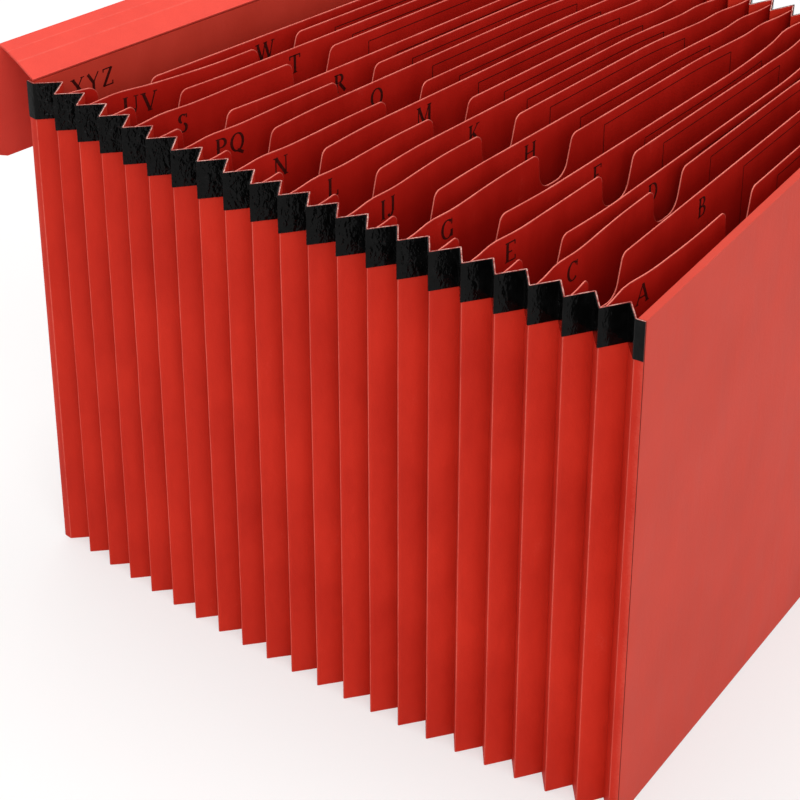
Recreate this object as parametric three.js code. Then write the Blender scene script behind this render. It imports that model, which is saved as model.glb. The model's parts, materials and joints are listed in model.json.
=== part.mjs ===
// Expanding document file: two covered boards, a pleated body with one divider leaf at
// each fold, taped side edges, and a scored cover flap thrown open over the back.
// Millimetres. +X runs across the file, -Y is the front board's side, +Z is up.

import * as THREE from 'three';

// Driving sizes of the file
const boardWidth = 305;
const boardHeight = 254;
const coreThickness = 2.6;
const coverPaper = 0.4;
const pocketCount = 21;

// How far the pleated body is pulled open
const leftPitch = 16;
const fanAngle = THREE.MathUtils.degToRad(15);
const frontCrowding = 0.05;

// Pleated strips at the sides and under the pockets
const pleatPanel = 13.4;
const pleatPaper = 0.5;
const tapeHeight = 18;
const tapeThickness = 0.25;

// Divider leaves
const leafCard = 0.5;
const leafDrop = 2;
const notchDepth = 18.5;
const notchReach = 12.5;
const notchSkew = 0.5;
const notchLeftSlant = 6;
const notchRightSlant = 15;
const notchUpperRadius = 4;
const notchBottomRadius = 8;
const leftNotchCentre = 33.5;
const rightNotchCentre = 114.5;
const leafEndBend = 22;
const leafBendSpan = 42;
const valleyLean = 1.8;
const leafSway = [-3, 0, 3, -4, 0, -4, 4, 3, 6, 5, 4, 5, 2, 4, 2, -3, 1, -3, -6, -12];

// Cover flap: each scored panel's width and its rise from the level at rest
const flapCard = 1;
const flapScores = [
  { width: 13, rise: 24 },
  { width: 7.5, rise: 21 },
  { width: 6.5, rise: 15 },
];
const flapPanelDepth = 66;
const flapPanelRise = -78;
const flapCornerRadius = 8;

// Clearances between separate pieces
const seatGap = 0.3;
const laminateGap = 0.2;
const creaseGap = 0.6;

const boardThickness = coreThickness + 2 * (laminateGap + coverPaper);
const fanRadius = (pocketCount * leftPitch) / fanAngle;

// Body of one closed sheet: two grids of points and the rim between them. place(column,
// side, row) gives each point, with side -1 on one face of the sheet and +1 on the other.
// Both faces split their quads along the same diagonal, so a bent sheet keeps its thickness.
function sheet(columns, rows, place) {
  const width = columns + 1;
  const count = width * (rows + 1);
  const points = [];
  for (const side of [-1, 1]) {
    for (let row = 0; row <= rows; row += 1) {
      for (let column = 0; column <= columns; column += 1) points.push(place(column, side, row));
    }
  }
  const triangles = [];
  for (let row = 0; row < rows; row += 1) {
    for (let column = 0; column < columns; column += 1) {
      const a = row * width + column;
      const b = a + 1;
      const c = b + width;
      const d = a + width;
      triangles.push([a, b, c], [a, c, d]);
      triangles.push([count + a, count + c, count + b], [count + a, count + d, count + c]);
    }
  }
  const ring = [];
  for (let column = 0; column < columns; column += 1) ring.push(column);
  for (let row = 0; row < rows; row += 1) ring.push(row * width + columns);
  for (let column = columns; column > 0; column -= 1) ring.push(rows * width + column);
  for (let row = rows; row > 0; row -= 1) ring.push(row * width);
  ring.forEach((here, n) => {
    const after = ring[(n + 1) % ring.length];
    triangles.push([after, here, here + count], [after, here + count, after + count]);
  });
  return outwardGeometry(points, triangles);
}

// Geometry of a closed body whose triangles agree with one another, turned to face out.
function outwardGeometry(points, triangles) {
  let volume = 0;
  for (const [a, b, c] of triangles) {
    volume += points[a].dot(points[b].clone().cross(points[c]));
  }
  const positions = [];
  for (const [a, b, c] of triangles) {
    const corners = volume < 0 ? [a, c, b] : [a, b, c];
    for (const corner of corners) positions.push(...points[corner].toArray());
  }
  const geometry = new THREE.BufferGeometry();
  geometry.setAttribute('position', new THREE.Float32BufferAttribute(positions, 3));
  geometry.computeVertexNormals();
  return geometry;
}

function material(name, color, roughness) {
  return new THREE.MeshStandardMaterial({ name, color, roughness, metalness: 0 });
}

const finishes = {
  board: material('greyboard', 0xd8cbb4, 0.9),
  cover: material('front_paper', 0xc5463a, 0.6),
  flap: material('flap_paper', 0xc8402f, 0.6),
  pleat: material('pleat_paper', 0xb3241a, 0.6),
  leaf: material('leaf_card', 0xa81c14, 0.65),
  tape: material('edge_tape', 0x0b0c0c, 0.3),
};

const folder = new THREE.Group();

function add(name, geometry, finish, parent = folder) {
  const mesh = new THREE.Mesh(geometry, finish);
  mesh.name = name;
  parent.add(mesh);
  return mesh;
}

// Folds of the body in plan. Outer folds are numbered 0 at the back board to pocketCount
// at the front board, and inner folds lie half-way between them.
function rowPoint(fold, inward) {
  const share = fold / pocketCount;
  const crowd = inward === 0 ? 0 : frontCrowding * Math.sin(Math.PI * share);
  const angle = fanAngle * (0.5 - share - crowd);
  const radius = fanRadius - inward;
  const middle = fanRadius - boardWidth / 2;
  return new THREE.Vector2(middle - radius * Math.cos(angle), radius * Math.sin(angle));
}

const leftFold = (fold) => rowPoint(fold, 0);
const rightFold = (fold) => rowPoint(fold, boardWidth);

// Sine of the angle between a pleat panel and the depth direction of its pleat.
function pleatSine(outerFold, fold) {
  const near = Math.max(fold - 1, 0);
  const far = Math.min(fold + 1, pocketCount);
  const pitch = outerFold(near).distanceTo(outerFold(far)) / (far - near);
  return pitch / 2 / pleatPanel;
}

// The inner fold that follows an outer fold, pushed in towards the other row.
function innerFold(outerFold, fold, into) {
  const a = outerFold(fold);
  const b = outerFold(fold + 1);
  const along = b.clone().sub(a);
  const depth = Math.sqrt(pleatPanel ** 2 - (along.length() / 2) ** 2);
  const inward = new THREE.Vector2(-along.y, along.x).normalize();
  const middle = a.clone().add(b).multiplyScalar(0.5);
  if (inward.dot(into.clone().sub(middle)) < 0) inward.negate();
  return middle.addScaledVector(inward, depth);
}

// Local directions of an end board: along runs from the left row to the right row and
// outward points away from the pockets.
function boardFrame(fold) {
  const corner = leftFold(fold);
  const along = rightFold(fold).sub(corner).normalize();
  const outward = new THREE.Vector2(-along.y, along.x);
  if (fold === pocketCount) outward.negate();
  return { corner, along, outward };
}

const backFrame = boardFrame(0);
const frontFrame = boardFrame(pocketCount);

// Point of a board's frame: s along the board, n outwards, z up.
function onBoard({ corner, along, outward }, s, n, z) {
  const flat = corner.clone().addScaledVector(along, s).addScaledVector(outward, n);
  return new THREE.Vector3(flat.x, flat.y, z);
}

// A folded strip seen in plan or in section: corners offset to either side, mitred.
function offsetCorner(points, index, distance) {
  const here = points[index];
  const before = points[Math.max(index - 1, 0)];
  const after = points[Math.min(index + 1, points.length - 1)];
  const arriving = here.clone().sub(index === 0 ? here.clone().multiplyScalar(2).sub(after) : before);
  const leaving = (index === points.length - 1 ? here.clone().multiplyScalar(2).sub(before) : after)
    .clone()
    .sub(here);
  const first = new THREE.Vector2(-arriving.y, arriving.x).normalize();
  const second = new THREE.Vector2(-leaving.y, leaving.x).normalize();
  const mitre = first.clone().add(second).normalize();
  return here.clone().addScaledVector(mitre, distance / mitre.dot(first));
}

// Plan of one side gusset: over the back board's edge, through every pleat, and over
// the front board's edge.
const boardInset = pleatPaper / 2 + seatGap;
const wrapDepth = boardInset + boardThickness;

function gussetPlan(outerFold, into) {
  const wrapS = outerFold === leftFold ? 0 : boardWidth;
  const backEnd = onBoard(backFrame, wrapS, wrapDepth, 0);
  const frontEnd = onBoard(frontFrame, wrapS, wrapDepth, 0);
  const points = [new THREE.Vector2(backEnd.x, backEnd.y)];
  for (let fold = 0; fold < pocketCount; fold += 1) {
    points.push(outerFold(fold), innerFold(outerFold, fold, into));
  }
  points.push(outerFold(pocketCount), new THREE.Vector2(frontEnd.x, frontEnd.y));
  return points;
}

// A strip that follows a plan, between two heights, centred off the plan by offset.
function pleatedStrip(plan, offset, thickness, low, high) {
  return sheet(plan.length - 1, 1, (column, side, row) => {
    const flat = offsetCorner(plan, column, offset + (side * thickness) / 2);
    return new THREE.Vector3(flat.x, flat.y, row === 0 ? low : high);
  });
}

// Side gussets with the tape on their outer faces
const tapeOffset = pleatPaper / 2 + laminateGap + tapeThickness / 2;
const sides = [
  { name: 'left', outerFold: leftFold, outside: -1 },
  { name: 'right', outerFold: rightFold, outside: 1 },
];

for (const { name, outerFold, outside } of sides) {
  const into = (outside < 0 ? rightFold : leftFold)(pocketCount / 2);
  const plan = gussetPlan(outerFold, into);
  const gusset = pleatedStrip(plan, 0, pleatPaper, 0, boardHeight);
  add(`${name}_gusset`, gusset, finishes.pleat);
  const tapeLow = boardHeight - tapeHeight;
  const tape = pleatedStrip(plan, outside * tapeOffset, tapeThickness, tapeLow, boardHeight);
  add(`${name}_edge_tape`, tape, finishes.tape);
}

// Boards: a greyboard core with paper round its face, its top edge and its inner face
function addBoard(name, frame) {
  const inner = boardInset;
  const low = coverPaper;
  const coreIn = inner + coverPaper + laminateGap;
  const coreOut = coreIn + coreThickness;
  const coreTop = boardHeight - coverPaper - laminateGap;
  const left = boardInset;
  const right = boardWidth - boardInset;
  const core = sheet(1, 1, (column, side, row) => {
    const s = column === 0 ? left : right;
    const n = side < 0 ? coreIn : coreOut;
    return onBoard(frame, s, n, row === 0 ? 0 : coreTop);
  });
  add(`${name}_board_core`, core, finishes.board);

  const near = inner + coverPaper / 2;
  const far = coreOut + laminateGap + coverPaper / 2;
  const top = boardHeight - coverPaper / 2;
  const section = [
    new THREE.Vector2(far, low),
    new THREE.Vector2(far, top),
    new THREE.Vector2(near, top),
    new THREE.Vector2(near, low),
  ];
  const cover = sheet(section.length - 1, 1, (column, side, row) => {
    const corner = offsetCorner(section, column, (side * coverPaper) / 2);
    return onBoard(frame, row === 0 ? left : right, corner.x, corner.y);
  });
  add(`${name}_cover_paper`, cover, finishes.cover);
}

addBoard('back', backFrame);
addBoard('front', frontFrame);

// Bottom gusset: its outer folds stand on the table under the leaves and its inner folds
// rise in the middle of each pocket. Its ends follow the side gussets.
function bottomCorner(step, outerFold, outside, upper) {
  const fold = step / 2;
  const across = rightFold(fold).sub(leftFold(fold)).normalize();
  const into = outside < 0 ? across : across.clone().negate();
  const sine = pleatSine(outerFold, Math.round(fold));
  const clear = (pleatPaper / 2 + seatGap) / sine;
  const lift = pleatPaper / sine;
  let flat = outerFold(fold);
  let height = 0;
  if (step % 2 === 1) {
    const target = flat.clone().addScaledVector(into, boardWidth / 2);
    flat = innerFold(outerFold, Math.floor(fold), target);
    height = flat.distanceTo(outerFold(fold));
  }
  flat = flat.clone().addScaledVector(into, clear);
  if (step === 0) flat.addScaledVector(backFrame.outward, -seatGap);
  if (step === 2 * pocketCount) flat.addScaledVector(frontFrame.outward, -seatGap);
  return new THREE.Vector3(flat.x, flat.y, height + (upper ? lift : 0));
}

const bottomGusset = sheet(1, 2 * pocketCount, (column, side, row) => {
  const { outerFold, outside } = sides[column];
  return bottomCorner(row, outerFold, outside, side > 0);
});
add('bottom_gusset', bottomGusset, finishes.pleat);

// Divider leaves
const smoothStep = (value, low, high) => THREE.MathUtils.smoothstep(value, low, high);

// One side of the thumb notch, from its flat bottom outwards: a round bottom corner, a
// slanted side and a round upper corner.
function notchSide(reach, slantDegrees) {
  const slant = THREE.MathUtils.degToRad(slantDegrees);
  const turn = Math.PI / 2 - slant;
  const tangent = Math.tan(turn / 2);
  const bottomCentre = reach - notchDepth * Math.tan(slant) - notchBottomRadius * tangent;
  const upperCentre = reach + notchUpperRadius * tangent;
  const points = [];
  for (let n = 0; n <= 3; n += 1) {
    const angle = (turn * n) / 3;
    const away = bottomCentre + notchBottomRadius * Math.sin(angle);
    points.push({ away, fall: notchDepth - notchBottomRadius * (1 - Math.cos(angle)) });
  }
  for (let n = 2; n >= 0; n -= 1) {
    const angle = (turn * n) / 2;
    const away = upperCentre - notchUpperRadius * Math.sin(angle);
    points.push({ away, fall: notchUpperRadius * (1 - Math.cos(angle)) });
  }
  return points;
}

// Places along a leaf where its outline or its bend changes, and the fall of its top edge
function leafColumns(start, end, centre) {
  const left = notchSide(notchReach, notchLeftSlant);
  const right = notchSide(notchReach + notchSkew, notchRightSlant);
  const columns = left.reverse().map(({ away, fall }) => ({ s: centre - away, fall }));
  for (const { away, fall } of right) columns.push({ s: centre + away, fall });
  const notchStart = columns[0].s;
  const notchEnd = columns[columns.length - 1].s;
  const inner = end - start - 2 * leafEndBend;
  const plain = [start, start + leafEndBend / 2];
  const spans = Math.round(inner / leafBendSpan);
  for (let n = 0; n <= spans; n += 1) plain.push(start + leafEndBend + (inner * n) / spans);
  plain.push(end - leafEndBend / 2, end);
  for (const s of plain) {
    if (s < notchStart - 3 || s > notchEnd + 3) columns.push({ s, fall: 0 });
  }
  return columns.sort((a, b) => a.s - b.s);
}

// Sideways bend of a leaf: it leaves the valley leaning back, then sways as a whole, and
// the bend dies out towards its foot.
function leafBend(s, height, sway) {
  const nearEnd = Math.min(s, boardWidth - s);
  const body = smoothStep(nearEnd, pleatPanel / 2, boardWidth * 0.28);
  const lean = valleyLean * Math.exp(-(((nearEnd - 24) / 11) ** 2));
  const grip = smoothStep(height, boardHeight * 0.06, boardHeight * 0.9);
  return (sway * body + lean) * grip;
}

// Distance from a fold at which the leaf's end fits between the two pleat panels.
function valleyClear(outerFold, fold) {
  const sine = pleatSine(outerFold, fold);
  const cosine = Math.sqrt(1 - sine ** 2);
  return (pleatPaper / 2 + seatGap + (leafCard / 2) * cosine) / sine;
}

// Lowest place of the leaves above the table, where the bottom valley is narrowest.
function leafFoot() {
  const folds = Array.from({ length: pocketCount - 1 }, (_, n) => n + 1);
  const sines = folds.map((fold) => Math.min(pleatSine(leftFold, fold), pleatSine(rightFold, fold)));
  const sine = Math.min(...sines);
  const steepness = Math.sqrt(1 - sine ** 2) / sine;
  return pleatPaper / sine + (leafCard / 2 + seatGap) * steepness;
}

const foot = leafFoot();
const leafTop = boardHeight - leafDrop;
const leafLevels = [0, 0.34, 0.7, 1];

function leafGeometry(number) {
  const fold = pocketCount - number;
  const origin = leftFold(fold);
  const end = rightFold(fold);
  const along = end.clone().sub(origin).normalize();
  const backward = new THREE.Vector2(-along.y, along.x);
  const length = origin.distanceTo(end);
  const centre = number % 2 === 1 ? rightNotchCentre : leftNotchCentre;
  const start = valleyClear(leftFold, fold);
  const columns = leafColumns(start, length - valleyClear(rightFold, fold), centre);
  const sway = leafSway[(number - 1) % leafSway.length];
  return sheet(columns.length - 1, leafLevels.length - 1, (column, side, row) => {
    const { s, fall } = columns[column];
    const top = leafTop - fall;
    const z = foot + (top - foot) * leafLevels[row];
    const bend = leafBend(s, z, sway) + (side * leafCard) / 2;
    const flat = origin.clone().addScaledVector(along, s).addScaledVector(backward, bend);
    return new THREE.Vector3(flat.x, flat.y, z);
  });
}

for (let number = 1; number < pocketCount; number += 1) {
  const label = String(number).padStart(2, '0');
  add(`divider_leaf_${label}`, leafGeometry(number), finishes.leaf);
}

// Cover flap: a scored part hinged along the back board's top edge, and a plain panel
// that hangs from its last score
const flapHingeN = boardInset;
const flapHingeZ = boardHeight + seatGap + flapCard / 2;

function flapPath() {
  const points = [new THREE.Vector2(flapHingeN, flapHingeZ)];
  for (const { width, rise } of flapScores) {
    const angle = THREE.MathUtils.degToRad(rise);
    const step = new THREE.Vector2(Math.cos(angle), Math.sin(angle)).multiplyScalar(width);
    points.push(points[points.length - 1].clone().add(step));
  }
  return points;
}

const flapProfile = flapPath();
const flapCrease = flapProfile[flapProfile.length - 1].clone();

function addFlapSpine() {
  const points = flapProfile.map((point) => point.clone());
  const last = points.length - 1;
  const lead = points[1].clone().sub(points[0]).normalize();
  const tail = points[last].clone().sub(points[last - 1]).normalize();
  points[0].addScaledVector(lead, laminateGap);
  points[last].addScaledVector(tail, -creaseGap);
  const spine = sheet(last, 1, (column, side, row) => {
    const corner = offsetCorner(points, column, (side * flapCard) / 2);
    const s = row === 0 ? boardInset : boardWidth - boardInset;
    return onBoard(backFrame, s, corner.x, corner.y);
  });
  add('cover_flap_spine', spine, finishes.flap);
}

// The panel is drawn flat, with its two free corners rounded, and hung from the crease.
function addFlapPanel() {
  const low = creaseGap;
  const high = flapPanelDepth;
  const left = boardInset;
  const right = boardWidth - boardInset;
  const radius = flapCornerRadius;
  const outline = new THREE.Shape();
  outline.moveTo(left, low);
  outline.lineTo(right, low);
  outline.lineTo(right, high - radius);
  outline.absarc(right - radius, high - radius, radius, 0, Math.PI / 2, false);
  outline.lineTo(left + radius, high);
  outline.absarc(left + radius, high - radius, radius, Math.PI / 2, Math.PI, false);
  outline.closePath();
  const geometry = new THREE.ExtrudeGeometry(outline, {
    depth: flapCard,
    bevelEnabled: false,
    curveSegments: 5,
  });
  geometry.translate(0, 0, -flapCard / 2);
  const angle = THREE.MathUtils.degToRad(flapPanelRise);
  const along = new THREE.Vector3(backFrame.along.x, backFrame.along.y, 0);
  const outward = new THREE.Vector3(backFrame.outward.x, backFrame.outward.y, 0);
  const down = outward.clone().multiplyScalar(Math.cos(angle)).setZ(Math.sin(angle));
  const normal = along.clone().cross(down);
  const turn = new THREE.Matrix4().makeBasis(along, down, normal);
  turn.setPosition(onBoard(backFrame, 0, flapCrease.x, flapCrease.y));
  geometry.applyMatrix4(turn);
  add('cover_flap_panel', geometry, finishes.flap);
}

addFlapSpine();
addFlapPanel();

// Origin at the middle of the footprint of the whole file, on the table
const extent = new THREE.Box3().setFromObject(folder);
const middle = extent.getCenter(new THREE.Vector3());
folder.position.set(-middle.x, -middle.y, -extent.min.z);

export default folder;
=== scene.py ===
"""Expanding document file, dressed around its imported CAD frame.

Every length is in metres, in the frame of the CAD model: +X runs across the file, -Y is
the front board's side and +Z is up. The pleated body stands in a slight fan, so most
shapes are laid out by the Fan class, and each sub-assembly below builds and dresses its
own pieces.
"""

import json
import logging
import math
from collections.abc import Callable
from dataclasses import dataclass, field
from enum import Enum

import bpy
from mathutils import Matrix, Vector

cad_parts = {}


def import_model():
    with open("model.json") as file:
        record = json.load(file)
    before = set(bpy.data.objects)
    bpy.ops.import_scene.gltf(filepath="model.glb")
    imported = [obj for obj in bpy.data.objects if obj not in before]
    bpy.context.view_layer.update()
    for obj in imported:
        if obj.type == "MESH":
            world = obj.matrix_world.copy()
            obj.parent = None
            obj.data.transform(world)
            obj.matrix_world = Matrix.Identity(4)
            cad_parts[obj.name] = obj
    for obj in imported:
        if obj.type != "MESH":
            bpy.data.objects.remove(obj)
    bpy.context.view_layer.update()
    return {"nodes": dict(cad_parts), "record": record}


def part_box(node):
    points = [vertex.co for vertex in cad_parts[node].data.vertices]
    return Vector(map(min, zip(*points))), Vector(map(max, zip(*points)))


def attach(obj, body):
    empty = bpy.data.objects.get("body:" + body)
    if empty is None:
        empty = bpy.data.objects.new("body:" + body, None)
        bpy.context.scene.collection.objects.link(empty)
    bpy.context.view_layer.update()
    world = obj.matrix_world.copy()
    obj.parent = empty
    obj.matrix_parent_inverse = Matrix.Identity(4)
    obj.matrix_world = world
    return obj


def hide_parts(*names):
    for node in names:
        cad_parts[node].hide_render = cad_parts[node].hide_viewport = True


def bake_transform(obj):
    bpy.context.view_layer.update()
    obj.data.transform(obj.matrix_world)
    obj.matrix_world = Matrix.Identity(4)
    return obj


LOG = logging.getLogger("document_file")
MM = 0.001
SHARP_SHEET = math.radians(38)
SHARP_STRIP = math.radians(35)
RIPPLES_PER_METRE = 85.0
Triple = tuple[float, float, float]
Placer = Callable[[int, int, int], Vector]
Row = Callable[[float], Vector]
Material = bpy.types.Material
Mesh = bpy.types.Mesh
Piece = bpy.types.Object
Socket = bpy.types.NodeSocket
Tree = bpy.types.NodeTree


def mix(low: float, high: float, share: float) -> float:
    """Returns the value at a share of the way from low to high."""
    return low + (high - low) * share


def smooth_step(value: float, low: float, high: float) -> float:
    """Eases from 0 to 1.

    Args:
        value: Place on the line.
        low: Where the step starts.
        high: Where the step ends.

    Returns:
        0 up to low, 1 from high on, and an S curve between.
    """
    share = min(max((value - low) / (high - low), 0.0), 1.0)
    return share * share * (3 - 2 * share)


class Expr:
    """A shader value. Arithmetic on it adds Math nodes to its tree."""

    def __init__(self, tree: Tree, socket: Socket) -> None:
        """Wraps the output socket of a node in tree."""
        self.tree = tree
        self.socket = socket

    def math(self, operation: str, *others: "Expr | float", clamp: bool = False) -> "Expr":
        """Adds one Math node.

        Args:
            operation: The node's operation.
            others: The second and third values.
            clamp: Whether the result is held between 0 and 1.

        Returns:
            The node's result.
        """
        node = self.tree.nodes.new("ShaderNodeMath")
        node.operation = operation
        node.use_clamp = clamp
        for index, value in enumerate((self, *others)):
            feed(self.tree, node.inputs[index], value)
        return Expr(self.tree, node.outputs[0])

    def __add__(self, other: "Expr | float") -> "Expr":
        """Returns the sum."""
        return self.math("ADD", other)

    def __sub__(self, other: "Expr | float") -> "Expr":
        """Returns the difference."""
        return self.math("SUBTRACT", other)

    def __mul__(self, other: "Expr | float") -> "Expr":
        """Returns the product."""
        return self.math("MULTIPLY", other)

    def band(self, low: float, high: float) -> "Expr":
        """Returns 0 below low, 1 above high and a straight ramp between, held to 0 to 1."""
        return ((self - low) * (1 / (high - low))).math("ADD", 0.0, clamp=True)


def feed(tree: Tree, socket: Socket, value: "Expr | Socket | float | tuple | Material") -> None:
    """Sets a socket to a number or colour, or links it to a shader value.

    Args:
        tree: The tree the socket is in.
        socket: The input socket.
        value: A link's source or a plain value.
    """
    if isinstance(value, Expr):
        tree.links.new(value.socket, socket)
    elif isinstance(value, Socket):
        tree.links.new(value, socket)
    elif isinstance(value, tuple) and socket.type == "RGBA" and len(value) == 3:
        socket.default_value = (*value, 1.0)
    else:
        socket.default_value = value


class TreeBuilder:
    """Adds nodes to a node tree."""

    def __init__(self, tree: Tree) -> None:
        """Empties the tree that it builds."""
        self.tree = tree
        tree.nodes.clear()

    def node(self, kind: str, settings: dict | None = None, sockets: dict | None = None) -> bpy.types.Node:
        """Adds any node.

        Args:
            kind: The node's type.
            settings: Its properties, set before its sockets.
            sockets: Values or links by socket name or number.

        Returns:
            The node.
        """
        node = self.tree.nodes.new(kind)
        for name, value in (settings or {}).items():
            setattr(node, name, value)
        for name, value in (sockets or {}).items():
            feed(self.tree, node.inputs[name], value)
        return node


class Shader(TreeBuilder):
    """A new material's node tree, with short ways to add what the finishes use."""

    def __init__(self, name: str) -> None:
        """Starts an empty material with that name."""
        self.material = bpy.data.materials.new(name)
        self.material.use_nodes = True
        super().__init__(self.material.node_tree)
        self.coordinates = self.node("ShaderNodeTexCoord").outputs["Object"]

    def noise(self, size: float, stretch: Triple = (1, 1, 1), detail: float = 3, rough: float = 0.5) -> Expr:
        """Adds noise on the object's coordinates.

        Args:
            size: About how far apart its features are.
            stretch: How much closer together they are along each axis.
            detail: Its number of octaves.
            rough: The strength of its fine octaves.

        Returns:
            The noise, about 0.5 on average.
        """
        scaled = self.node("ShaderNodeMapping", sockets={"Vector": self.coordinates, "Scale": stretch})
        values = {"Vector": scaled.outputs[0], "Scale": 1 / size, "Detail": detail, "Roughness": rough}
        return Expr(self.tree, self.node("ShaderNodeTexNoise", sockets=values).outputs["Fac"])

    def attribute(self, name: str) -> Expr:
        """Returns a value that the mesh stores by name."""
        return Expr(self.tree, self.node("ShaderNodeAttribute", {"attribute_name": name}).outputs["Fac"])

    def blend(self, share: Expr, low: "Triple | Socket", high: "Triple | Socket") -> Socket:
        """Mixes two colours.

        Args:
            share: 0 for the first colour and 1 for the second.
            low: The first colour.
            high: The second colour.

        Returns:
            The mixed colour's socket.
        """
        node = self.node("ShaderNodeMix", {"data_type": "RGBA"})
        colours = [socket for socket in node.inputs if socket.type == "RGBA"]
        feed(self.tree, node.inputs[0], share)
        feed(self.tree, colours[0], low)
        feed(self.tree, colours[1], high)
        return next(socket for socket in node.outputs if socket.type == "RGBA")

    def bump(self, height: Expr, distance: float, strength: float = 1.0) -> Socket:
        """Returns the normal of a surface with that height pattern."""
        values = {"Height": height, "Distance": distance, "Strength": strength}
        return self.node("ShaderNodeBump", sockets=values).outputs[0]

    def surface(self, **sockets: object) -> Material:
        """Adds the Principled shader and the output.

        Args:
            sockets: The shader's values, with underscores for the spaces in their names.

        Returns:
            The finished material.
        """
        named = {name.replace("_", " "): value for name, value in sockets.items()}
        shader = self.node("ShaderNodeBsdfPrincipled", sockets=named)
        self.node("ShaderNodeOutputMaterial", sockets={"Surface": shader.outputs[0]})
        return self.material


@dataclass(frozen=True)
class DyedPaper:
    """Red coated paper or card, with scuffs, fibres, and pale colour along its folds that is partly wear and
    partly painted highlight.
    """

    name: str
    colour: Triple
    dark: Triple
    # Pale fold colour: partly wear, partly painted highlight along the folds.
    worn_and_highlighted: Triple = (0.68, 0.17, 0.13)
    roughness: float = 0.55
    wear_and_highlight: float = 0.55
    grain: float = 0.00012
    fibre: float = 0.0011
    mottle: float = 0.012
    gloss: float = 0.09

    def build(self) -> Material:
        """Returns the material."""
        shader = Shader(self.name)
        cloud = shader.noise(self.mottle * 4, detail=4)
        fine = shader.noise(self.fibre, detail=4, rough=0.6)
        speck = shader.noise(self.mottle, stretch=(1.0, 1.0, 0.35), detail=5, rough=0.65)
        base = shader.blend((cloud * 0.6 + speck * 0.4).band(0.36, 0.62), self.dark, self.colour)
        # Pale along the folds: partly wear, partly painted highlight on the fold lines.
        fold = shader.attribute("wear_and_highlight")
        rubbed_and_highlighted = (fold * self.wear_and_highlight * (speck * 0.9 + fine * 0.8)).band(0.18, 0.75)
        scuffed = (speck * 0.7 + fine * 0.3).band(0.62, 0.75) * 0.12
        colour = shader.blend(rubbed_and_highlighted.math("MAXIMUM", scuffed), base, self.worn_and_highlighted)
        rough = speck * 0.22 + (self.roughness - 0.1) + rubbed_and_highlighted * 0.2
        normal = shader.bump(fine * 0.6 + speck * 1.2, self.grain)
        return shader.surface(
            Base_Color=colour, Roughness=rough, Normal=normal, Specular_IOR_Level=self.gloss
        )


@dataclass(frozen=True)
class GlossTape:
    """Black gloss tape that has wrinkled over the pleats, with pale grey along its folds that is partly
    rubbed wear and partly painted highlight.
    """

    name: str = "black edge tape"
    colour: Triple = (0.0012, 0.0012, 0.0012)
    dusty: Triple = (0.006, 0.006, 0.0062)
    worn_and_highlighted: Triple = (0.05, 0.04, 0.04)
    gloss: float = 0.09
    bubble: float = 0.0042
    wrinkle: float = 0.006
    scratch: float = 0.0009
    relief: float = 0.0014

    def build(self) -> Material:
        """Returns the material."""
        shader = Shader(self.name)
        bubbles = shader.noise(self.bubble, detail=2, rough=0.45)
        wrinkles = shader.noise(self.wrinkle, stretch=(1.3, 1.3, 0.85), detail=3, rough=0.55)
        fine = shader.noise(self.scratch, detail=3)
        crumple = shader.attribute("crumple")
        fold = shader.attribute("wear_and_highlight")
        dust = shader.blend(wrinkles.band(0.45, 0.75) * 0.5, self.colour, self.dusty)
        # Grey along the tape's folds: partly rubbed wear, partly painted highlight.
        rubbed_and_highlighted = (fold * (fine * 0.8 + bubbles * 0.7)).band(0.62, 1.05) * 0.5
        colour = shader.blend(rubbed_and_highlighted, dust, self.worn_and_highlighted)
        ridges = (wrinkles - 0.5).math("ABSOLUTE") * 3.2 + (bubbles - 0.5).math("ABSOLUTE") * 1.6
        relief = ridges * (crumple * 0.8 - 0.12) + fine * 0.03
        rough = wrinkles * 0.1 + 0.08 + rubbed_and_highlighted * 0.3
        normal = shader.bump(relief, self.relief, 0.75)
        return shader.surface(
            Base_Color=colour, Roughness=rough, Normal=normal, Specular_IOR_Level=self.gloss
        )


@dataclass(frozen=True)
class TornEdge:
    """The cut edge of dyed paper, where the pale inside of the sheet shows. It also gives the near-black
    painted shade at the seams and the painted highlight on the leaves' edges.
    """

    name: str
    colour: Triple
    pale: Triple
    fibre: float = 0.0035
    grain: float = 0.0007

    def build(self) -> Material:
        """Returns the material."""
        shader = Shader(self.name)
        fibre = shader.noise(self.fibre, detail=4, rough=0.7)
        fine = shader.noise(self.grain, detail=2)
        colour = shader.blend((fibre * 0.7 + fine * 0.3).band(0.42, 0.6), self.colour, self.pale)
        normal = shader.bump(fine, 0.0001)
        return shader.surface(Base_Color=colour, Roughness=0.85, Normal=normal, Specular_IOR_Level=0.1)


@dataclass(frozen=True)
class Greyboard:
    """Raw board with short fibres and grey specks."""

    name: str = "raw greyboard"
    colour: Triple = (0.66, 0.56, 0.4)
    dark: Triple = (0.42, 0.34, 0.23)
    ply: float = 0.0016
    grain: float = 0.0006

    def build(self) -> Material:
        """Returns the material."""
        shader = Shader(self.name)
        layers = shader.noise(self.ply, stretch=(1, 1, 0.2), detail=3)
        fine = shader.noise(self.grain, detail=3, rough=0.7)
        colour = shader.blend((layers * 0.6 + fine * 0.4).band(0.35, 0.6), self.dark, self.colour)
        return shader.surface(Base_Color=colour, Roughness=0.9, Normal=shader.bump(fine, 0.0002))


@dataclass(frozen=True)
class Ink:
    """Dark printing ink, a little uneven."""

    name: str = "dark index print"
    colour: Triple = (0.036, 0.005, 0.004)
    thin: Triple = (0.075, 0.007, 0.006)
    blotch: float = 0.0012

    def build(self) -> Material:
        """Returns the material."""
        shader = Shader(self.name)
        cover = shader.noise(self.blotch, detail=3)
        colour = shader.blend(cover.band(0.45, 0.7), self.colour, self.thin)
        normal = shader.bump(cover, 0.00004)
        return shader.surface(Base_Color=colour, Roughness=0.5, Normal=normal, Specular_IOR_Level=0.1)


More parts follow.
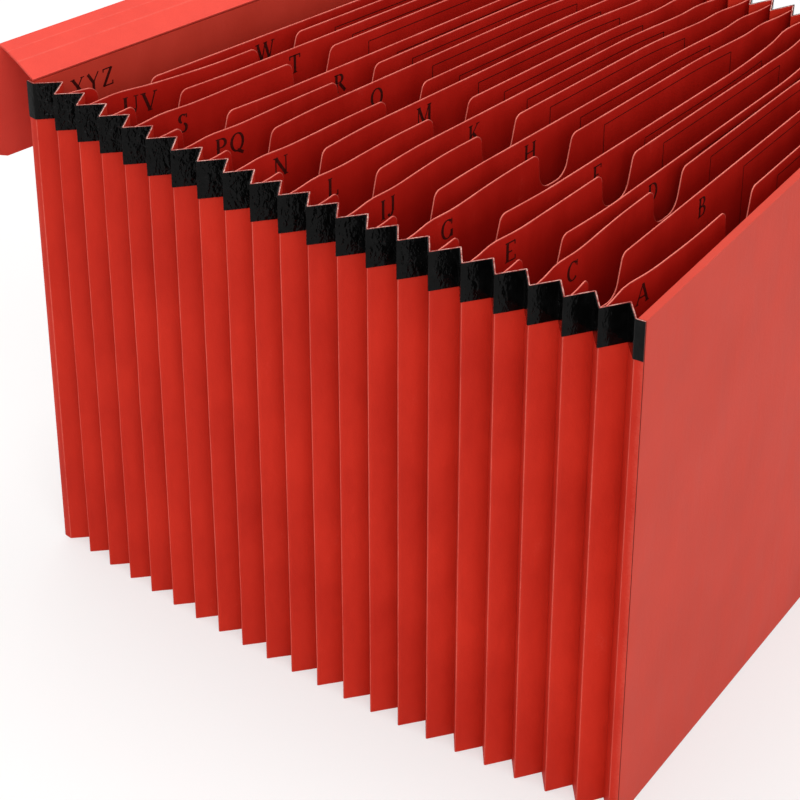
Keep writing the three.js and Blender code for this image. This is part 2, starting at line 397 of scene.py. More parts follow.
class Finish(Enum):
    """The finishes of the file's surfaces."""

    PLEAT = DyedPaper("pleat paper", (0.57, 0.028, 0.013), (0.47, 0.019, 0.009))
    COVER = DyedPaper("cover paper", (0.53, 0.046, 0.027), (0.47, 0.038, 0.021), gloss=0.12)
    FLAP = DyedPaper("flap paper", (0.68, 0.062, 0.042), (0.61, 0.05, 0.034), wear_and_highlight=0.35, gloss=0.12)
    # The leaf card's pale fold colour also paints the highlight along each leaf's top edge.
    LEAF = DyedPaper(
        "leaf card", (0.47, 0.014, 0.008), (0.37, 0.009, 0.005), (0.74, 0.2, 0.155), wear_and_highlight=0.72, gloss=0.06
    )
    PLEAT_EDGE = TornEdge("pleat cut edge", (0.3, 0.06, 0.05), (0.64, 0.38, 0.33))
    # Cut edges of the leaves and the flap: the card's pale inside, made brighter as a painted highlight
    # along those edges.
    LEAF_EDGE_HIGHLIGHT = TornEdge("leaf cut edge", (0.84, 0.27, 0.21), (0.94, 0.56, 0.48))
    # Near-black end faces of the side strips: painted shade in the seams beside the boards.
    SEAM = TornEdge("glued seam", (0.035, 0.006, 0.005), (0.09, 0.014, 0.01))
    TAPE = GlossTape()
    CORE = Greyboard()
    INK = Ink()

    def material(self) -> Material:
        """Returns the finish's material, built on first use."""
        made = bpy.data.materials.get(self.value.name)
        return made or self.value.build()


def new_object(name: str, mesh: Mesh, *finishes: Finish) -> Piece:
    """Links a mesh into the scene under a piece's name.

    Args:
        name: The piece's name.
        mesh: Its mesh, already in place.
        finishes: Its materials in the order of the mesh's material numbers.

    Returns:
        The new object.
    """
    mesh.name = name
    mesh.materials.clear()
    for finish in finishes:
        mesh.materials.append(finish.material())
    piece = bpy.data.objects.new(name, mesh)
    bpy.context.collection.objects.link(piece)
    return piece


def signed_volume(points: list[Vector], faces: list[tuple[int, ...]]) -> float:
    """Returns six times the volume that the faces enclose, negative when inside out."""
    total = 0.0
    for face in faces:
        for second, third in zip(face[1:], face[2:]):
            total += points[face[0]].dot(points[second].cross(points[third]))
    return total


def solid_sheet(columns: int, rows: int, place: Placer, wear_and_highlight: Callable[[int, int], float]) -> Mesh:
    """Builds a closed thin sheet from a grid of places.

    Args:
        columns: Spans along the sheet.
        rows: Spans up the sheet.
        place: Gives the point at a column, side (-1 or 1) and row.
        wear_and_highlight: Gives the fold wear and painted fold highlight at a column and row.

    Returns:
        The mesh. Its rim has material number 1.
    """
    width = columns + 1
    count = width * (rows + 1)
    points = [place(c, side, r) for side in (-1, 1) for r in range(rows + 1) for c in range(width)]
    faces: list[tuple[int, ...]] = []
    for r in range(rows):
        for c in range(columns):
            corner = r * width + c
            quad = (corner, corner + 1, corner + width + 1, corner + width)
            faces.append(quad)
            faces.append(tuple(count + n for n in reversed(quad)))
    flat_faces = len(faces)
    ring = list(range(width))
    ring += [r * width + columns for r in range(1, rows + 1)]
    ring += [rows * width + c for c in range(columns - 1, -1, -1)]
    ring += [r * width for r in range(rows - 1, 0, -1)]
    for n, here in enumerate(ring):
        after = ring[(n + 1) % len(ring)]
        faces.append((after, here, here + count, after + count))
    if signed_volume(points, faces) < 0:
        faces = [tuple(reversed(face)) for face in faces]
    mesh = bpy.data.meshes.new("sheet")
    mesh.from_pydata(points, [], faces)
    mesh.polygons.foreach_set("material_index", [int(n >= flat_faces) for n in range(len(faces))])
    mesh.polygons.foreach_set("use_smooth", [True] * len(faces))
    values = [wear_and_highlight(c, r) for _ in (0, 1) for r in range(rows + 1) for c in range(width)]
    mesh.attributes.new("wear_and_highlight", "FLOAT", "POINT").data.foreach_set("value", values)
    mesh.set_sharp_from_angle(angle=SHARP_SHEET)
    mesh.update()
    return mesh


@dataclass(frozen=True)
class BoardLine:
    """The plan of one board: s runs along it from the left row and n outwards from it."""

    corner: Vector
    along: Vector
    outward: Vector

    def point(self, s: float, n: float, z: float) -> Vector:
        """Returns the point at s along the board, n outwards and z up."""
        flat = self.corner + self.along * s + self.outward * n
        return Vector((flat.x, flat.y, z))


@dataclass(frozen=True)
class Fan:
    """The opened body in plan: where each fold of each row stands.

    Outer folds are numbered from 0 at the back board to pockets at the front board.
    """

    width: float = 305 * MM
    height: float = 254 * MM
    pockets: int = 21
    pitch: float = 16 * MM
    angle: float = math.radians(15)
    crowding: float = 0.05
    panel: float = 13.4 * MM
    paper: float = 0.5 * MM
    seat: float = 0.3 * MM
    board: float = 3.8 * MM
    shift: Vector = field(default_factory=lambda: Vector((0, 0)))

    @property
    def radius(self) -> float:
        """Returns the distance from the left row to the fan's centre."""
        return self.pockets * self.pitch / self.angle

    @property
    def inset(self) -> float:
        """Returns how far the boards stand inside the wrapped side strips."""
        return self.paper / 2 + self.seat

    def row_point(self, fold: float, inward: float) -> Vector:
        """Returns the plan point of a fold's line, inward from the left row."""
        share = fold / self.pockets
        crowd = 0.0 if inward == 0 else self.crowding * math.sin(math.pi * share)
        angle = self.angle * (0.5 - share - crowd)
        radius = self.radius - inward
        middle = self.radius - self.width / 2
        return Vector((middle - radius * math.cos(angle), radius * math.sin(angle))) + self.shift

    def left(self, fold: float) -> Vector:
        """Returns a fold's place in the left row."""
        return self.row_point(fold, 0.0)

    def right(self, fold: float) -> Vector:
        """Returns a fold's place in the right row."""
        return self.row_point(fold, self.width)

    def inner(self, row: Row, fold: int, into: Vector) -> Vector:
        """Returns the inner fold that follows an outer fold.

        Args:
            row: The row's outer folds.
            fold: The outer fold's number.
            into: A point on the side to which the inner folds are pushed.

        Returns:
            The inner fold's place.
        """
        first, second = row(fold), row(fold + 1)
        along = second - first
        depth = math.sqrt(self.panel**2 - (along.length / 2) ** 2)
        inward = Vector((-along.y, along.x)).normalized()
        middle = (first + second) / 2
        if inward.dot(into - middle) < 0:
            inward = -inward
        return middle + inward * depth

    def board_line(self, fold: int) -> BoardLine:
        """Returns the plan of the board at the first or the last fold."""
        corner = self.left(fold)
        along = (self.right(fold) - corner).normalized()
        outward = Vector((-along.y, along.x))
        return BoardLine(corner, along, outward if fold == 0 else -outward)

    def side_corners(self, row: Row, edge: float) -> list[Vector]:
        """Returns a side strip's plan, from over the back board's edge to the front's.

        Args:
            row: The row of outer folds that it follows.
            edge: Where the board's edge is along the board.

        Returns:
            The strip's corners.
        """
        into = (self.left(self.pockets / 2) + self.right(self.pockets / 2)) / 2
        wrap = self.inset + self.board
        corners = [self.board_line(0).point(edge, wrap, 0).xy]
        for fold in range(self.pockets):
            corners += [row(fold), self.inner(row, fold, into)]
        corners += [row(self.pockets), self.board_line(self.pockets).point(edge, wrap, 0).xy]
        return corners


@dataclass(frozen=True)
class PlanPoint:
    """A point of a strip's plan, with how worn and how crumpled the strip is there; the wear value also
    paints the fold's highlight.
    """

    place: Vector
    wear_and_highlight: float
    crumple: float


class StripSweep(TreeBuilder):
    """Geometry nodes that sweep an upright strip along a plan path and crumple it."""

    def __init__(self) -> None:
        """Builds the node tree."""
        super().__init__(bpy.data.node_groups.new("upright strip", "GeometryNodeTree"))
        self.sockets: dict[str, str] = {}
        face = self.tree.interface
        face.new_socket("Geometry", in_out="OUTPUT", socket_type="NodeSocketGeometry")
        face.new_socket("Path", in_out="INPUT", socket_type="NodeSocketGeometry")
        kinds = {"Thickness": "Float", "Low": "Float", "High": "Float", "Levels": "Int"}
        for name, kind in {**kinds, "Crumple": "Float", "Material": "Material"}.items():
            given = face.new_socket(name, in_out="INPUT", socket_type=f"NodeSocket{kind}")
            self.sockets[name] = given.identifier
        self.wire()

    def wire(self) -> None:
        """Adds and links the nodes."""
        given = self.node("NodeGroupInput").outputs
        path = self.node("GeometryNodeMeshToCurve", sockets={"Mesh": given["Path"]})
        upright = self.node("GeometryNodeSetCurveNormal", {"mode": "Z_UP"}, {"Curve": path.outputs[0]})
        low, high = Expr(self.tree, given["Low"]), Expr(self.tree, given["High"])
        sizes = {"Width": given["Thickness"], "Height": high - low}
        outline = self.node("GeometryNodeCurvePrimitiveQuadrilateral", sockets=sizes)
        lift = self.node("ShaderNodeCombineXYZ", sockets={"Y": (low + high) * -0.5})
        move = {"Geometry": outline.outputs[0], "Translation": lift.outputs[0]}
        raised = self.node("GeometryNodeTransform", sockets=move)
        cuts = {"Curve": raised.outputs[0], "Cuts": given["Levels"]}
        levels = self.node("GeometryNodeSubdivideCurve", sockets=cuts)
        curves = {"Curve": upright.outputs[0], "Profile Curve": levels.outputs[0], "Fill Caps": True}
        swept = self.node("GeometryNodeCurveToMesh", sockets=curves)
        place = self.node("GeometryNodeInputPosition").outputs[0]
        pattern = {"Vector": place, "Scale": RIPPLES_PER_METRE, "Detail": 2.0}
        ripple = self.node("ShaderNodeTexNoise", sockets=pattern)
        values = {0: ripple.outputs["Color"], 1: (0.5, 0.5, 0.5)}
        centred = self.node("ShaderNodeVectorMath", {"operation": "SUBTRACT"}, values)
        stored = self.node("GeometryNodeInputNamedAttribute", {"data_type": "FLOAT"}, {"Name": "crumple"})
        amount = Expr(self.tree, stored.outputs["Attribute"]) * Expr(self.tree, given["Crumple"])
        values = {0: centred.outputs[0], "Scale": amount}
        offset = self.node("ShaderNodeVectorMath", {"operation": "SCALE"}, values)
        values = {"Geometry": swept.outputs[0], "Offset": offset.outputs[0]}
        moved = self.node("GeometryNodeSetPosition", sockets=values)
        real = self.node("GeometryNodeRealizeInstances", sockets={"Geometry": moved.outputs[0]})
        values = {"Geometry": real.outputs[0], "Material": given["Material"]}
        dressed = self.node("GeometryNodeSetMaterial", sockets=values)
        self.node("NodeGroupOutput", sockets={0: dressed.outputs[0]})

    def make(self, path: list[PlanPoint], finish: Finish, **values: float) -> Mesh:
        """Sweeps one strip.

        Args:
            path: The strip's plan.
            finish: Its material.
            values: The tree's inputs by name.

        Returns:
            The strip's mesh.
        """
        line = bpy.data.meshes.new("plan")
        spans = [(n, n + 1) for n in range(len(path) - 1)]
        line.from_pydata([Vector((*point.place, 0)) for point in path], spans, [])
        for name in ("wear_and_highlight", "crumple"):
            stored = line.attributes.new(name, "FLOAT", "POINT")
            stored.data.foreach_set("value", [getattr(point, name) for point in path])
        holder = bpy.data.objects.new("plan", line)
        bpy.context.collection.objects.link(holder)
        modifier = holder.modifiers.new("sweep", "NODES")
        modifier.node_group = self.tree
        for name, value in values.items():
            modifier[self.sockets[name]] = value
        modifier[self.sockets["Material"]] = finish.material()
        bpy.context.view_layer.update()
        evaluated = holder.evaluated_get(bpy.context.evaluated_depsgraph_get())
        mesh = bpy.data.meshes.new_from_object(evaluated)
        bpy.data.objects.remove(holder)
        corners = [vertex.co.copy() for vertex in mesh.vertices]
        if signed_volume(corners, [tuple(face.vertices) for face in mesh.polygons]) < 0:
            mesh.flip_normals()
        mesh.polygons.foreach_set("use_smooth", [True] * len(mesh.polygons))
        mesh.set_sharp_from_angle(angle=SHARP_STRIP)
        return mesh


def offset_corner(corners: list[Vector], index: int, distance: float) -> Vector:
    """Moves one corner of a path sideways, to where both of its spans are offset.

    Args:
        corners: The path.
        index: The corner's number.
        distance: How far its spans move, positive to the left of the path.

    Returns:
        The moved corner.
    """
    here = corners[index]
    spans = []
    if index > 0:
        spans.append(here - corners[index - 1])
    if index < len(corners) - 1:
        spans.append(corners[index + 1] - here)
    normals = [Vector((-span.y, span.x)).normalized() for span in spans]
    mitre = (normals[0] + normals[-1]).normalized()
    return here + mitre * (distance / mitre.dot(normals[0]))


@dataclass
class SidePleats:
    """The pleated side strips, their tape, and their pale fold marks, which are partly wear and partly
    painted highlight.
    """

    fan: Fan
    sweep: StripSweep
    tape_height: float = 18 * MM
    tape: float = 0.25 * MM
    glue: float = 0.2 * MM
    fold_radius: float = 0.45 * MM
    crumple: float = 0.5 * MM
    front_crumple: float = 0.25
    rear_crumple: float = 0.95
    crumple_rise: float = 1.3
    # Paleness of the outer folds, inner folds and wrapped ends: partly wear, partly painted highlight along
    # the folds.
    outer_wear_and_highlight: float = 1.0
    inner_wear_and_highlight: float = 0.35
    end_wear_and_highlight: float = 0.6
    wear_and_highlight_spread: float = 0.25
    fold_pull: float = 0.22
    between: tuple[float, ...] = (0.14, 0.38, 0.62, 0.86)
    levels: int = 22
    tape_levels: int = 8

    def path(self, corners: list[Vector]) -> list[PlanPoint]:
        """Rounds a plan's folds and marks its wear, which also paints a highlight along each fold.

        Args:
            corners: The strip's corners.

        Returns:
            The strip's path.
        """
        last = len(corners) - 1
        points: list[PlanPoint] = []
        for n, corner in enumerate(corners):
            rear = 1 - n / last
            crumple = self.front_crumple + self.rear_crumple * rear**self.crumple_rise
            if n in (0, last):
                points.append(PlanPoint(corner, self.end_wear_and_highlight, 0.0))
                continue
            worn_and_highlighted = self.outer_wear_and_highlight if n % 2 == 1 else self.inner_wear_and_highlight
            before = (corners[n - 1] - corner).normalized() * self.fold_radius
            after = (corners[n + 1] - corner).normalized() * self.fold_radius
            held = 0.0 if n in (1, last - 1) else crumple
            beside = worn_and_highlighted * self.wear_and_highlight_spread
            points.append(PlanPoint(corner + before, beside, held))
            points.append(PlanPoint(corner + (before + after) * self.fold_pull, worn_and_highlighted, held))
            points.append(PlanPoint(corner + after, beside, held))
            if n < last - 1:
                for share in self.between:
                    place = corner.lerp(corners[n + 1], share)
                    points.append(PlanPoint(place, 0.0, crumple))
        return points

    def strip(
        self, corners: list[Vector], finish: Finish, thickness: float, low: float, levels: int
    ) -> Mesh:
        """Sweeps a strip up to the file's top edge.

        Args:
            corners: Its plan.
            finish: Its material.
            thickness: Its thickness.
            low: Height of its lower edge.
            levels: Its number of cuts.

        Returns:
            The strip's mesh.
        """
        sizes = {"Thickness": thickness, "Low": low, "High": self.fan.height}
        return self.sweep.make(self.path(corners), finish, **sizes, Levels=levels, Crumple=self.crumple)

    def build(self) -> None:
        """Builds both strips and both tapes."""
        fan = self.fan
        tape_low = fan.height - self.tape_height
        out = fan.paper / 2 + self.glue + self.tape / 2
        for name, row, edge, side in (("left", fan.left, 0.0, -1), ("right", fan.right, fan.width, 1)):
            corners = fan.side_corners(row, edge)
            strip = self.strip(corners, Finish.PLEAT, fan.paper, 0.0, self.levels)
            piece = new_object(f"{name}_pleats", strip, Finish.PLEAT, Finish.PLEAT_EDGE, Finish.SEAM)
            mark_cut_edges(strip, fan.height)
            finish_piece(piece, "pleat_paper", f"{name}_gusset")
            outer = [offset_corner(corners, n, side * out) for n in range(len(corners))]
            tape = self.strip(outer, Finish.TAPE, self.tape, tape_low, self.tape_levels)
            piece = new_object(f"{name}_tape", tape, Finish.TAPE, Finish.PLEAT_EDGE)
            finish_piece(piece, "edge_tape", f"{name}_edge_tape")


def mark_cut_edges(mesh: Mesh, top: float) -> None:
    """Gives material number 1 to a strip's cut top edge and number 2 to its end faces, which carry the
    painted shade of the seams at the boards.

    Args:
        mesh: The strip's mesh.
        top: Height of its cut edge.
    """
    rim = 1.2 * MM
    for face in mesh.polygons:
        level = face.center.z > top - rim and abs(face.normal.z) > 0.5
        # The strip's end faces get the near-black painted seam shade.
        shaded_end = len(face.vertices) > 4
        face.material_index = 2 if shaded_end else int(level)


def finish_piece(piece: Piece, slot: str, *nodes: str) -> None:
    """Attaches a piece of the file's body and hides the CAD nodes that it stands for.

    Args:
        piece: The finished piece.
        slot: The record's material slot; not used.
        nodes: The CAD nodes it stands for.
    """
    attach(piece, "file_body")
    if nodes:
        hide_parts(*nodes)
    LOG.info("%s: %d faces", piece.name, len(piece.data.polygons))


@dataclass(frozen=True)
class Notch:
    """The thumb notch of a leaf: slanted sides with round corners."""

    depth: float = 18.5 * MM
    reach: float = 12.5 * MM
    skew: float = 0.5 * MM
    left_slant: float = math.radians(6)
    right_slant: float = math.radians(15)
    upper_radius: float = 4 * MM
    bottom_radius: float = 8 * MM
    bottom_steps: int = 7
    upper_steps: int = 6

    def side(self, reach: float, slant: float) -> list[tuple[float, float]]:
        """Returns one side as distances from the middle and depths, from the bottom up."""
        turn = math.pi / 2 - slant
        tangent = math.tan(turn / 2)
        bottom = reach - self.depth * math.tan(slant) - self.bottom_radius * tangent
        upper = reach + self.upper_radius * tangent
        points = []
        for n in range(self.bottom_steps + 1):
            angle = turn * n / self.bottom_steps
            fall = self.depth - self.bottom_radius * (1 - math.cos(angle))
            points.append((bottom + self.bottom_radius * math.sin(angle), fall))
        for n in range(self.upper_steps, -1, -1):
            angle = turn * n / self.upper_steps
            fall = self.upper_radius * (1 - math.cos(angle))
            points.append((upper - self.upper_radius * math.sin(angle), fall))
        return points

    def columns(self, centre: float) -> list[tuple[float, float]]:
        """Returns places along the leaf and the fall of its top edge there."""
        left = [(centre - away, fall) for away, fall in self.side(self.reach, self.left_slant)]
        right = self.side(self.reach + self.skew, self.right_slant)
        return left[::-1] + [(centre + away, fall) for away, fall in right]


@dataclass
class Leaves:
    """The divider leaves with their index letters and printed frames.

    A leaf is held flat up to its grip's first share of the height and sways in full from
    its second. Near the pleats it leans a little backwards.
    """

    fan: Fan
    card: float = 0.5 * MM
    drop: float = 2 * MM
    lean: float = 1.8 * MM
    lean_place: float = 24 * MM
    lean_reach: float = 11 * MM
    sway_span: float = 0.28
    rear_sway_span: float = 0.17
    grip: tuple[float, float] = (0.06, 0.9)
    spans: int = 60
    levels: tuple[float, ...] = (0, 0.15, 0.3, 0.45, 0.58, 0.7, 0.8, 0.88, 0.94, 0.985, 0.998, 1)
    # Wear of the leaf's two top rows, which also paints the highlight along its top edge.
    rim_wear_and_highlight: tuple[float, float] = (0.3, 1.0)
    notch_clear: float = 2 * MM
    print_gap: float = 0.06 * MM
    print_shift: float = 1.5 * MM
    letter_drop: float = 5.6 * MM
    letter_size: float = 9.2 * MM
    frame_left: float = 152 * MM
    frame_right: float = 254 * MM
    frame_drop: float = 5 * MM
    frame_depth: float = 45 * MM
    board_letter_place: float = 33.5 * MM
    board_letter_drop: float = 5.8 * MM
    board_letter_size: float = 9 * MM
    left_place: float = 33.5 * MM
    right_place: float = 114.5 * MM
    notch: Notch = Notch()
    sway: tuple[float, ...] = (-3, 0, 3, -4, 0, -4, 4, 3, 6, 5, 4, 5, 2, 4, 2, -3, 1, -3, -6, -13)
    letters: tuple[str, ...] = tuple("A B C D E F G H IJ K L M N O PQ R S T UV W".split())

    def point(self, number: int, s: float, off: float, z: float) -> Vector:
        """Returns a point of a leaf.

        Args:
            number: The leaf's number from the front.
            s: Distance along the leaf from the left row.
            off: Distance behind the leaf's middle surface.
            z: Height.

        Returns:
            The point.
        """
        fan = self.fan
        fold = fan.pockets - number
        origin, end = fan.left(fold), fan.right(fold)
        along = (end - origin).normalized()
        backward = Vector((-along.y, along.x))
        near = min(s, fan.width - s)
        rearmost = number == fan.pockets - 1
        span = self.rear_sway_span if rearmost else self.sway_span
        body = smooth_step(near, fan.panel / 2, fan.width * span)
        lean = self.lean * math.exp(-(((near - self.lean_place) / self.lean_reach) ** 2)) * (not rearmost)
        free = smooth_step(z, fan.height * self.grip[0], fan.height * self.grip[1])
        bend = (self.sway[number - 1] * MM * body + lean) * free + off
        flat = origin + along * s + backward * bend
        return Vector((flat.x, flat.y, z))

    def end_gap(self, row: Row, fold: int) -> float:
        """Returns how far from its fold a leaf's end stands, between the pleats."""
        fan = self.fan
        pitch = (row(fold - 1) - row(fold + 1)).length / 2
        sine = pitch / 2 / fan.panel
        cosine = math.sqrt(1 - sine**2)
        return (fan.paper / 2 + fan.seat + self.card / 2 * cosine) / sine

    def build_leaf(self, number: int, foot: float) -> None:
        """Builds one leaf.

        Args:
            number: The leaf's number from the front.
            foot: Height of its lower edge.
        """
        fan = self.fan
        fold = fan.pockets - number
        length = (fan.right(fold) - fan.left(fold)).length
        start = self.end_gap(fan.left, fold)
        end = length - self.end_gap(fan.right, fold)
        centre = self.right_place if number % 2 == 1 else self.left_place
        columns = self.notch.columns(centre)
        low, high = columns[0][0] - self.notch_clear, columns[-1][0] + self.notch_clear
        for n in range(self.spans + 1):
            s = mix(start, end, n / self.spans)
            if s < low or s > high:
                columns.append((s, 0.0))
        columns.sort()
        top = fan.height - self.drop
        worn_and_highlighted = [0.0] * (len(self.levels) - 2) + list(self.rim_wear_and_highlight)

        def place(column: int, side: int, row: int) -> Vector:
            """Returns a point of the leaf's face."""
            s, fall = columns[column]
            z = mix(foot, top - fall, self.levels[row])
            return self.point(number, s, side * self.card / 2, z)

        def wear_and_highlight(_column: int, row: int) -> float:
            """Returns how worn the leaf is near its top edge; this also paints the highlight along that
            edge.
            """
            return worn_and_highlighted[row]

        mesh = solid_sheet(len(columns) - 1, len(self.levels) - 1, place, wear_and_highlight)
        piece = new_object(f"leaf_{number:02d}", mesh, Finish.LEAF, Finish.LEAF_EDGE_HIGHLIGHT)
        finish_piece(piece, "leaf_card", f"divider_leaf_{number:02d}")

    def build(self) -> None:
        """Builds every leaf and its print."""
        printer = Printer()
        height = self.fan.height
        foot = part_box("divider_leaf_01")[0][2]
        off = -self.card / 2 - self.print_gap
        for number in range(1, self.fan.pockets):
            self.build_leaf(number, foot)
            printer.begin(lambda s, z, n=number: self.point(n, s, off, z))
            centre = self.left_place + self.print_shift if number % 2 == 1 else self.right_place
            printer.word(self.letters[number - 1], centre, height - self.letter_drop, self.letter_size)
            frame_top = height - self.drop - self.frame_drop
            printer.frame(self.frame_left, self.frame_right, frame_top, self.frame_depth)
            piece = new_object(f"leaf_{number:02d}_print", printer.mesh(), Finish.INK)
            finish_piece(piece, "leaf_card")
        board = self.fan.board_line(0)
        inner = self.fan.inset - self.print_gap
        printer.begin(lambda s, z: board.point(s, inner, z))
        top = height - self.board_letter_drop
        printer.word("XYZ", self.board_letter_place, top, self.board_letter_size)
        piece = new_object("back_board_print", printer.mesh(), Finish.INK)
        finish_piece(piece, "cover_paper")


THIN = 0.075
HEAVY = 0.17
SERIF = 0.055
SERIF_REACH = {HEAVY: 0.13, THIN: 0.11}
SERIF_LEVELS = (0.02, 0.98)
UPRIGHT = 0.6
ARC_THIN = 0.06
ARC_INSET = (0.05, 0.03)
BAR_START = 0.04

# Strokes that several of the capitals share
STEM = (0.14, 0, 0.14, 1, HEAVY)
ARMS = ((0.14, 0.97, 0.58, 0.97, THIN), (0.14, 0.5, 0.42, 0.5, THIN))
BARB = (0.58, 0.78, 0.58, 1, THIN)
HOOK = (0.67, 0.68, 0.67, 0.98, THIN)

# Strokes of the index capitals, on a cap height of 1. A line is (x, y, x, y, weight), and
# an arc is (centre x, centre y, radius x, radius y, first degree, last degree).
GLYPHS: dict[str, tuple[float, list[tuple[float, ...]]]] = {
    "A": (0.8, [(0.07, 0, 0.4, 1, THIN), (0.4, 1, 0.73, 0, HEAVY), (0.18, 0.33, 0.62, 0.33, THIN)]),
    "B": (0.68, [STEM, (0.3, 0.76, 0.25, 0.24, -90, 90), (0.32, 0.26, 0.3, 0.26, -90, 90)]),
    "C": (0.74, [(0.4, 0.5, 0.36, 0.5, 45, 315), HOOK]),
    "D": (0.8, [STEM, (0.3, 0.5, 0.42, 0.5, -90, 90)]),
    "E": (0.66, [STEM, *ARMS, (0.14, 0.03, 0.6, 0.03, THIN), BARB, (0.61, 0, 0.61, 0.24, THIN)]),
    "F": (0.62, [STEM, *ARMS, BARB]),
    "G": (0.8, [(0.4, 0.5, 0.36, 0.5, 45, 330), HOOK, (0.67, 0.05, 0.67, 0.42, HEAVY)]),
    "H": (0.82, [STEM, (0.68, 0, 0.68, 1, HEAVY), (0.14, 0.52, 0.68, 0.52, THIN)]),
    "I": (0.34, [(0.17, 0, 0.17, 1, HEAVY)]),
    "J": (0.5, [(0.34, 0.2, 0.34, 1, HEAVY), (0.18, 0.2, 0.17, 0.2, 190, 360)]),
    "K": (0.8, [STEM, (0.16, 0.36, 0.62, 1, THIN), (0.3, 0.55, 0.7, 0, HEAVY)]),
    "L": (0.64, [STEM, (0.14, 0.03, 0.58, 0.03, THIN), (0.58, 0, 0.58, 0.26, THIN)]),
    "M": (0.98, [(0.13, 0, 0.13, 1, THIN), (0.15, 1, 0.49, 0.08, HEAVY), (0.49, 0.08, 0.82, 1, THIN),
                 (0.84, 0, 0.84, 1, HEAVY)]),
    "N": (0.82, [(0.13, 0, 0.13, 1, THIN), (0.13, 1, 0.68, 0, HEAVY), (0.68, 0, 0.68, 1, THIN)]),
    "O": (0.82, [(0.41, 0.5, 0.37, 0.5, 0, 360)]),
    "P": (0.66, [STEM, (0.3, 0.74, 0.28, 0.26, -90, 90)]),
    "Q": (0.82, [(0.41, 0.5, 0.37, 0.5, 0, 360), (0.4, 0.08, 0.74, -0.16, HEAVY)]),
    "R": (0.76, [STEM, (0.3, 0.75, 0.26, 0.25, -90, 90), (0.34, 0.48, 0.68, 0, HEAVY)]),
    "S": (0.6, [(0.3, 0.75, 0.22, 0.25, 40, 250), (0.29, 0.26, 0.24, 0.26, -140, 75),
                (0.5, 0.76, 0.5, 0.98, THIN), (0.07, 0.02, 0.07, 0.26, THIN)]),
    "T": (0.74, [(0.37, 0, 0.37, 1, HEAVY), (0.06, 0.97, 0.68, 0.97, THIN), (0.06, 0.78, 0.06, 1, THIN),
                 (0.68, 0.78, 0.68, 1, THIN)]),
    "U": (0.8, [(0.14, 0.3, 0.14, 1, HEAVY), (0.39, 0.3, 0.25, 0.3, 180, 360), (0.65, 0.3, 0.65, 1, THIN)]),
    "V": (0.8, [(0.1, 1, 0.41, 0, HEAVY), (0.41, 0, 0.7, 1, THIN)]),
    "W": (1.12, [(0.08, 1, 0.33, 0, HEAVY), (0.33, 0, 0.55, 1, THIN), (0.55, 1, 0.79, 0, HEAVY),
                 (0.79, 0, 1.02, 1, THIN)]),
    "X": (0.8, [(0.1, 1, 0.68, 0, HEAVY), (0.1, 0, 0.66, 1, THIN)]),
    "Y": (0.78, [(0.08, 1, 0.38, 0.45, HEAVY), (0.38, 0.45, 0.68, 1, THIN), (0.38, 0, 0.38, 0.5, HEAVY)]),
    "Z": (0.68, [(0.08, 0.97, 0.58, 0.97, THIN), (0.56, 1, 0.08, 0, HEAVY), (0.06, 0.03, 0.6, 0.03, THIN),
                 (0.08, 0.8, 0.08, 1, THIN), (0.6, 0, 0.6, 0.22, THIN)]),
}
# Letters whose upright strokes end in short cross strokes at the foot and the top
FOOTED = "ABDEFHIJKLMNPRTUVWXY"


